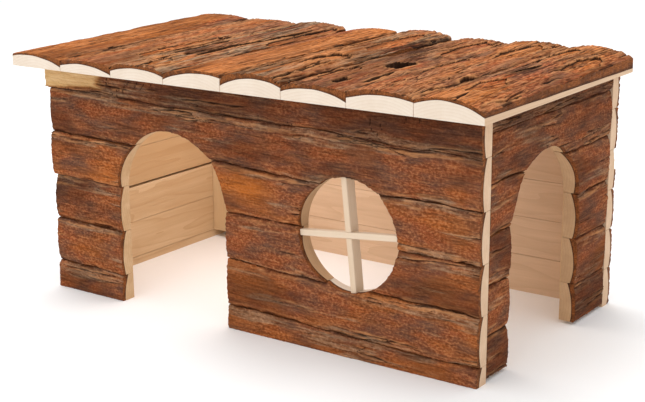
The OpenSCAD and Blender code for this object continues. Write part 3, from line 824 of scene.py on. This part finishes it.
ROOF_PLACES = (
    ((150, 26, 180, 24, 0.85), (20, 54, 70, 12, -1.1)),
    ((120, 12, 150, 8, 0.2), (40, 54, 70, 12, -0.9)),
    ((175, 22, 34, 17, -1.35), (238, 22, 22, 18, 1.6), (60, 26, 60, 17, -0.95), (202, 35, 20, 9, -1.2)),
    ((150, 52, 140, 10, 0.45), (60, 12, 120, 12, -1.3)),
    ((178, 36, 38, 20, 1.4), (15, 14, 36, 18, -1.1), (75, 58, 45, 7, -1.6)),
    # Sixth slab: the last place, along its left edge, is a painted shadow under the fifth slab's edge.
    ((94, 15, 30, 15, -1.1), (136, 37, 26, 14, -0.95), (264, 20, 28, 24, -0.8), (95, 3, 50, 7, -1.3)),
    ((95, 12, 24, 12, -1.3), (200, 12, 22, 12, -1.2), (42, 32, 38, 14, 1.7)),
    ((145, 24, 38, 18, -1.25), (262, 30, 34, 20, 1.5), (15, 24, 28, 20, 1.3)),
)
for index, look in enumerate(ROOF_LOOKS):
    seams = (ROOF_SEAM * (index > 0), ROOF_SEAM * (index < len(ROOF_LOOKS) - 1))
    look.update(grey=ROOF_GREY[index], places=ROOF_PLACES[index], seam=seams)
roof_low, roof_high = box_mm("roof_slab_1")
roof_depth = roof_high[1] - roof_low[1]
print(f"{len(ROOF_LOOKS)} roof slabs, {roof_depth:.0f} mm long")

# %% Build the roof
ROOF_FINER = 0.8
LEAST_TORN = 0.5


def torn_bark(node, slab, seed):
    """How far a roof solid's bark lies below its round, over places along and across the slab."""
    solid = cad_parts[node]
    points = [solid.matrix_world @ vertex.co / MM for vertex in solid.data.vertices]
    rays = BVHTree.FromPolygons(points, [face.vertices for face in solid.data.polygons])
    low, high = box_mm(node)

    def torn(s, t):
        s = s + 5 * noise(s / 18, t / 5, seed) + 2 * noise(s / 6, t / 2, seed + 1)
        t = t + 1.1 * noise(s / 22, t / 7, seed + 2) + 0.5 * noise(s / 7, t / 3, seed + 3)
        s = np.clip(s, 0.5, roof_depth - 0.5)
        t = np.clip(t, SLAB_GAP, slab["width"])
        feet = zip(low[0] - SLAB_GAP / 2 + t.ravel(), high[1] - s.ravel())
        tops = [rays.ray_cast((x, y, 2 * high[2]), (0, 0, -1))[0].z for x, y in feet]
        rise = arc_height(t - SLAB_GAP / 2, slab["width"], *slab["outer"]) + slab["swell"](s)
        depth = rise - (np.array(tops).reshape(s.shape) - low[2])
        return np.where(depth > LEAST_TORN, depth, 0)

    return torn


def roof_panel(origin, first, last):
    """Places a roof slab whose long edges drift to the right by first and last towards the front."""
    straight = panel_at(origin, (0, -1, 0), (1, 0, 0), up)
    pitch = (roof_high[0] - roof_low[0]) + SLAB_GAP

    def place(s, t, d):
        return straight(s, t + s / roof_depth * (first + (last - first) * t / pitch), d)

    return place


def to_rear(amount):
    """A function that rises from nothing at the roof's front to an amount at its rear."""
    return lambda s: amount * (1 - s / roof_depth)


for index, look in enumerate(ROOF_LOOKS):
    node = f"roof_slab_{index + 1}"
    low, high = box_mm(node)
    seed = 100 + 31 * index
    panel = roof_panel((low[0] - SLAB_GAP / 2, high[1], low[2]), *FRONT_DRIFT[index:index + 2])
    slab = plain_borders(0, high[0] - low[0] + SLAB_GAP, 0, roof_depth)
    slab.update(outer=ROOF_OUTER[index], wood=ROOF_WOOD[index], side=CREAM, bark="roof_bark")
    slab.update(swell=to_rear(REAR_SWELL[index]), wood_sink=to_rear(REAR_THIN[index]))
    slab.update(torn=torn_bark(node, slab, seed), caps=(END_GRAIN, END_GRAIN))
    build_slab(node, panel, slab, look, seed, ROOF_FINER)

# %% [markdown]
# ## Front wall
# Six rows of slabs slope a little, falling to the right. The door and the window cut through them, so a row
# can be whole, notched, or in two or three pieces. A notched row gets the arch as its lower border, and a
# parted row gets the arch or the circle as its end. The top slab has lost its bark at the left end.

# %% Openings and looks of the front wall
door_width = door_right - door_left
door_middle = (door_left + door_right) / 2
window_middle = wall_length - WINDOW_INSET
front_middle = wall_length / 2
front_heights = joint_heights(*FRONT_JOINTS)
BARE_LENGTH = 66.0
BARE_RISE = 0.065
BARE_LEVEL = -3.4


def window_edge(s, side):
    """Height of the window's upper or lower edge over a place along the wall."""
    rise = chord(s - window_middle, WINDOW_R)
    return np.where(rise > 0, WINDOW_Z + side * rise, -side * FAR)


def bare_tongue(s, t):
    """Where the top slab's bark is gone: a tongue of bare wood along its upper edge, at the left."""
    tallest = front_heights[-2] + front_middle * math.tan(FRONT_TILT)
    over = t - tallest - BARE_RISE * s
    fade = 0.2 * (BARE_LENGTH - s)
    return ramp(np.minimum(over, fade) + 1.2 * layered(s / 30, t / 6, 77), -2.0, 2.5)


WALL_LOOK = {"crack": 0.75, "dark": 0.7, "long": 1.5, "seam": (0.9, 0.9)}
FRONT_LOOKS = list_looks((
    (0.18, -0.40, (0.1, 0.7), 0.8, 1.6, 1.2),
    (0.20, -0.50, (0.1, 0.8), 0.8, 1.6, 1.4),
    (0.05, -0.45, (0.1, 0.8), 0.9, 1.8, 1.4),
    (0.18, -0.55, (0.1, 0.7), 0.8, 1.5, 1.4),
    (-0.22, -0.60, (0.2, 0.8), 0.8, 1.5, 1.4),
    (-0.34, -0.30, (0.4, 0.2), 0.9, 1.8, 1.0),
), grey=0.65, **WALL_LOOK)
FRONT_PLACES = (
    ((30, 10, 70, 30, -0.25),),
    ((45, 47, 40, 13, 0.35), (30, 47, 70, 40, -0.25)),
    ((30, 90, 70, 40, -0.3),),
    ((235, 130, 32, 11, 0.6), (60, 122, 30, 11, 0.4), (20, 130, 60, 40, -0.3)),
    ((440, 165, 80, 40, 0.2),),
    (),
)
for look, places in zip(FRONT_LOOKS, FRONT_PLACES):
    look["places"] = places
FRONT_LOOKS[-1].update(cross=1.0, bare=bare_tongue, bare_level=BARE_LEVEL)
print(f"front door {door_width:.1f} mm wide, window {window_middle - door_middle:.1f} mm to its right")

# %% Build the front wall
FRONT_ENDS = {
    "door_left": lambda t: door_middle - arch_half(t, door_width, DOOR_TOP),
    "door_right": lambda t: door_middle + arch_half(t, door_width, DOOR_TOP),
    "window_left": lambda t: window_middle - chord(t - WINDOW_Z, WINDOW_R),
    "window_right": lambda t: window_middle + chord(t - WINDOW_Z, WINDOW_R),
}
FRONT_PIECES = (
    ("1_left", 1, None, "door_left"), ("1_right", 1, "door_right", None),
    ("2_left", 2, None, "door_left"), ("2_right", 2, "door_right", None),
    ("3_left", 3, None, "door_left"), ("3_middle", 3, "door_right", "window_left"),
    ("3_right", 3, "window_right", None),
    ("4_left", 4, None, "door_left"), ("4_middle", 4, "door_right", "window_left"),
    ("4_right", 4, "window_right", None),
    ("5", 5, None, None), ("6", 6, None, None),
)
LEFT_SINK = (0.5, 1.0, 3.8, -0.3, 1.8, -0.6)
SINK_REACH = (60, 220)
TOP_OUTER = (15.4, 15.8, 13.0)
top_proud = wall_left - box_mm("front_slab_6")[0][0]
for label, row, start, end in FRONT_PIECES:
    first = -top_proud if row == 6 else 0.0
    joints = front_heights[row - 1:row + 1]
    slab = plain_borders(*joints, first, wall_length, FRONT_TILT, front_middle)
    joint_low, joint_high = cut_off(slab, 0)
    slab["swell"] = lambda s: LEFT_SINK[row - 1] * (ramp(s, *SINK_REACH) - 1)
    slab["start"] = FRONT_ENDS.get(start, slab["start"])
    slab["end"] = FRONT_ENDS.get(end, slab["end"])
    far_cap = {"door_left": SAWN, "window_left": ROUND_CUT}.get(end, CREAM)
    slab["caps"] = (ROUND_CUT if start else CREAM, far_cap)
    slab["wander"] = joint_wander(30, row)
    # The window's lower rim faces up and gets the paler end-grain finish: a painted highlight for the light
    # on it.
    if row == 2 and start:
        slab["side"] = END_GRAIN
        slab["high"] = lambda s: np.minimum(joint_high(s), window_edge(s, -1))
    if row == 5:
        slab["low"] = lambda s: np.maximum.reduce(
            [joint_low(s), arch_over(s, door_middle, door_width, DOOR_TOP), window_edge(s, 1)])
    if row == 6:
        slab["outer"] = TOP_OUTER
    begin, stop = (float(slab[side](np.array(WINDOW_Z))) for side in ("start", "end"))
    slab.update(span=stop - begin, middle=begin + (stop - begin) / 2)
    build_slab(f"front_slab_{label}", front_panel, slab, FRONT_LOOKS[row - 1], 500 + 37 * row)

# %% [markdown]
# ## Right wall
# The right wall stands between the front and the back wall, a little above the floor. Its arched door
# leaves a narrow strip in front and a wider one behind, and the ends of those slabs show the round section
# of every row, as a scalloped edge.

# %% Build the right wall
side_width = side_far - side_near
side_middle = (side_near + side_far) / 2
SIDE_LOOKS = list_looks((
    (-0.25, -0.15, (0.2, 0.5), 0.9, 1.7, 1.4),
    (0.12, -0.45, (0.1, 0.6), 0.8, 1.5, 1.4),
    (-0.10, -0.25, (0.2, 0.6), 1.0, 1.8, 1.6),
    (-0.05, -0.40, (0.1, 0.6), 0.9, 1.6, 1.4),
    (-0.22, -0.40, (0.1, 0.6), 0.9, 1.6, 1.4),
    (-0.35, 0.00, (0.3, 0.3), 0.9, 1.6, 1.0),
), grey=0.5, **WALL_LOOK)
# Length of each piece's grid, with some to spare under the arch, and a first guess of its middle
SPARE = 25
SIDE_GRIDS = {
    "_front": (side_near + SPARE, side_near / 2),
    "_rear": (side_length - side_far + SPARE, side_far + 20),
    "": (side_length, side_length / 2),
}
right_heights = joint_heights(*RIGHT_JOINTS)
for row in range(1, RIGHT_JOINTS[2] + 1):
    for part in (("_front", "_rear") if row < 5 else ("",)):
        slab = plain_borders(*right_heights[row - 1:row + 1], 0, side_length)
        joint_low, joint_high = cut_off(slab, right_lift)
        slab.update(caps=(ROUND_CUT, ROUND_CUT), wander=joint_wander(50, row))
        slab["span"], slab["middle"] = SIDE_GRIDS[part]
        if part == "_front":
            slab["end"] = lambda t: side_middle - arch_half(t, side_width, SIDE_DOOR_TOP)
        if part == "_rear":
            slab["start"] = lambda t: side_middle + arch_half(t, side_width, SIDE_DOOR_TOP)
        if row == 5:
            slab["low"] = lambda s: np.maximum(
                joint_low(s), arch_over(s, side_middle, side_width, SIDE_DOOR_TOP))
        build_slab(f"right_slab_{row}{part}", right_panel, slab, SIDE_LOOKS[row - 1], 900 + 41 * row)

# %% [markdown]
# ## Left and back walls
# Both are plain. In the left wall one joint stands open, which shows as a dark line from inside: the bark
# of the slab above hangs over it and keeps the daylight out. The boards above that joint are darker. On
# the back wall a piece of bark has come off at the right end, next to a joint.

# %% Build the left and back walls
OPEN_JOINT = 2.4
OPEN_ROW = 3
DARK_BOARD = 0.5
PLAIN_WALL_COARSE = 1.5
GONE_ROW = 4
GONE_LENGTH = 14.0
GONE_HEIGHTS = (131.0, 152.0)
GONE_LEVEL = -3.5


def gone_patch(s, t):
    """Where the back wall has lost a piece of bark, at its right end."""
    edge = np.minimum(t - GONE_HEIGHTS[0], GONE_HEIGHTS[1] - t)
    return ramp(np.minimum(GONE_LENGTH - s, edge) + 5.0 * layered(s / 12, t / 7, 78), -1.0, 1.5)


def plain_wall(side, panel, joints, length, seed):
    """A wall without openings: one slab for each row, cut off at the floor and at the roof."""
    heights = joint_heights(*joints)
    for row in range(1, joints[2] + 1):
        spare = OPEN_JOINT - SLAB_GAP if side == "left" and row == OPEN_ROW else 0.0
        slab = plain_borders(heights[row - 1], heights[row] - spare, 0, length)
        cut_off(slab, 0)
        look = dict(SIDE_LOOKS[row % len(SIDE_LOOKS)])
        if side == "left" and row > OPEN_ROW:
            look["shade"] = DARK_BOARD
        if side == "left" and row == OPEN_ROW + 1:
            slab["wander"] = (steady(-OPEN_JOINT), steady(0))
        if side == "back":
            slab["inside"] = CREAM
        if side == "back" and row == GONE_ROW:
            look.update(bare=gone_patch, bare_level=GONE_LEVEL)
        build_slab(f"{side}_slab_{row}", panel, slab, look, seed + 43 * row, PLAIN_WALL_COARSE)


plain_wall("left", left_panel, LEFT_JOINTS, side_length, 1300)
plain_wall("back", back_panel, BACK_JOINTS, wall_length, 1700)

# %% [markdown]
# ## Posts and the window's cross
# Posts and sticks are squared timber with edges eased by a pass of sandpaper. Each is a small rounded
# section carried along its length with a hint of waver. The upright stick has a notch in its front, and
# the level stick lies in it, so the cross is flush in front.

# %% Stick mesh
EASE = 0.6
STICK_STEPS = 24
STICK_WAVER = 0.12
NOTCH_STEP = 1e-3


def stick_mesh(name, length, width, depth, place, material, seed, notch=None, shade=0.0):
    """A squared stick along its own first axis. place turns along, side and depth into the house."""
    cut = EASE * np.array((1, 0.3, 0))
    sides = np.r_[EASE, width - cut, width - cut[::-1], cut, cut[:0:-1]]
    depths = np.r_[0, cut[::-1], depth - cut, depth - cut[::-1], cut[:2]]
    section = np.column_stack([sides, depths])
    cuts = [(length * k / STICK_STEPS, 0.0) for k in range(STICK_STEPS + 1)]
    if notch:
        begin, end, sunk = notch
        cuts = [c for c in cuts if not begin - 1 < c[0] < end + 1]
        cuts += [(begin, 0.0), (begin + NOTCH_STEP, sunk), (end - NOTCH_STEP, sunk), (end, 0.0)]
    rings = []
    for along, sunk in sorted(cuts):
        ring = section.copy()
        ring[:, 1] = np.maximum(ring[:, 1], sunk)
        at = np.array([along / 25.0, along / 25.0 + 9])
        waver = STICK_WAVER * noise(at, np.array([0.5, 7.5]), seed)
        rings.append(np.column_stack([np.full(len(ring), along), ring + waver]))
    points = np.concatenate(rings)
    numbers = np.arange(len(points)).reshape(len(rings), -1)
    faces = [face for ring, after in zip(numbers, numbers[1:]) for face in band(after, ring)]
    faces += [numbers[0][::-1].tolist(), numbers[-1].tolist()]
    mesh = bpy.data.meshes.new(name)
    mesh.from_pydata((place(*points.T) * MM).tolist(), [], faces)
    mesh.materials.append(materials[material])
    shift = np.random.default_rng(seed).uniform(-500, 500)
    store(mesh, "grain", (points + (shift, -width / 2, 0)) * MM)
    store(mesh, "shade", np.full(len(points), shade))
    return mesh


def finish_stick(mesh, node):
    """Ties a stick to the construction."""
    piece = new_piece(mesh)
    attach(piece, "root")
    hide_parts(node)
    print(f"{piece.name}: {len(piece.data.polygons)} faces")


# %% Build the posts and the cross
# Painted shade: the upright stick is painted darker than the level stick.
UPRIGHT_SHADE = 0.35
BAR_W, UPRIGHT_DEPTH, LEVEL_DEPTH, BAR_SEAT, BAR_CLEAR = 5.5, 12.0, 5.5, 2.0, 0.2
inward = (0, 1, 0)
for index, node in enumerate(("post_front_left", "post_front_right", "post_back_left", "post_back_right")):
    low, high = box_mm(node)
    place = panel_at(low, up, (1, 0, 0), inward)
    side = high[0] - low[0]
    finish_stick(
        stick_mesh(f"sawn_{node}", high[2] - low[2], side, side, place, "post_wood", 2100 + index), node)

half_length = WINDOW_R + BAR_SEAT
half_bar = BAR_W / 2
cross_middle = np.array((wall_left + window_middle, inner_front - UPRIGHT_DEPTH, WINDOW_Z))
lean_right = np.array((math.cos(CROSS_LEAN), 0, math.sin(CROSS_LEAN)))
lean_up = np.array((-math.sin(CROSS_LEAN), 0, math.cos(CROSS_LEAN)))
foot = cross_middle - lean_up * half_length - lean_right * half_bar
place = panel_at(foot, lean_up, lean_right, inward)
notch_half = half_bar + BAR_CLEAR
notch = (half_length - notch_half, half_length + notch_half, LEVEL_DEPTH + BAR_CLEAR)
upright = stick_mesh("window_upright_stick", 2 * half_length, BAR_W, UPRIGHT_DEPTH, place,
                     "stick_wood", 2201, notch, UPRIGHT_SHADE)
finish_stick(upright, "window_upright")
left_end = cross_middle - lean_right * half_length + lean_up * half_bar
place = panel_at(left_end, lean_right, -lean_up, inward)
level = stick_mesh("window_level_stick", 2 * half_length, BAR_W, LEVEL_DEPTH, place, "stick_wood", 2202)
finish_stick(level, "window_level_bar")

# %% [markdown]
# ## Floor, light and camera
# The house stands on a plain pale floor in soft light. A bright even sky fills the shade, a large panel
# above and behind lights the roof, and another in front lifts the front wall. A small one under the roof
# stands in for the light inside. The camera stands where the photograph was taken from, worked out from
# the corners of roof and walls.

# %% Stage
FLOOR_SIZE = 12.0
# Place and target in metres, size in metres, and power in watts
LIGHTS = {
    "roof_light": ((-0.4, 0.3, 1.7), (0, 0, 0.15), (1.4, 1.4), 16),
    "front_light": ((-0.2, -1.8, 0.9), (0, 0, 0.12), (1.8, 1.2), 5),
    "inside_fill": ((-0.06, 0.005, 0.212), (-0.06, 0.005, 0), (0.26, 0.16), 0.36),
}
scene = bpy.context.scene
bpy.ops.mesh.primitive_plane_add(size=FLOOR_SIZE, location=(0, 0, 0))
floor = bpy.context.object
floor.name = "studio_floor"
paper_tree, paper = new_material("studio_paper")
plug(paper_tree, paper, {"Base Color": rgb(250, 250, 250), "Roughness": 1.0, "Specular IOR Level": 0.0})
floor.data.materials.append(materials["studio_paper"])

scene.world = bpy.data.worlds.new("soft_sky")
scene.world.use_nodes = True
sky_tree = scene.world.node_tree
plug(sky_tree, sky_tree.nodes["Background"], {"Color": (1, 1, 1, 1), "Strength": 1.0})
scene.view_settings.view_transform = "Standard"
for name, (place, target, size, power) in LIGHTS.items():
    lamp = bpy.data.lights.new(name, "AREA")
    lamp.shape = "RECTANGLE"
    lamp.size, lamp.size_y = size
    lamp.energy = power
    light = bpy.data.objects.new(name, lamp)
    scene.collection.objects.link(light)
    light.location = place
    light.rotation_euler = (Vector(target) - Vector(place)).to_track_quat("-Z", "Y").to_euler()
    light.visible_camera = name != "inside_fill"
print("lights:", list(LIGHTS))

# %% Camera
FRAME_W, FRAME_H = 645, 402
FOCAL_PX = 1378.52
CENTRE_PX = (335.92, 228.75)
SENSOR_MM = 36.0
eye = Vector((734.85, -1021.24, 428.93)) * MM
azimuth, elevation, roll = (math.radians(v) for v in (34.95, 16.13, -0.30))
aim = Matrix.Rotation(azimuth, 4, "Z") @ Matrix.Rotation(math.pi / 2 - elevation, 4, "X")
lens = bpy.data.cameras.new("photo_camera")
lens.sensor_fit = "HORIZONTAL"
lens.sensor_width = SENSOR_MM
lens.lens = FOCAL_PX / FRAME_W * SENSOR_MM
lens.shift_x = (FRAME_W / 2 - CENTRE_PX[0]) / FRAME_W
lens.shift_y = (CENTRE_PX[1] - FRAME_H / 2) / FRAME_W
lens.clip_start, lens.clip_end = 0.01, 100.0
camera = bpy.data.objects.new("photo_camera", lens)
camera.matrix_world = Matrix.Translation(eye) @ aim @ Matrix.Rotation(roll, 4, "Z")
scene.collection.objects.link(camera)
scene.camera = camera
print("camera lens", round(lens.lens, 2), "mm, shift", round(lens.shift_x, 4), round(lens.shift_y, 4))
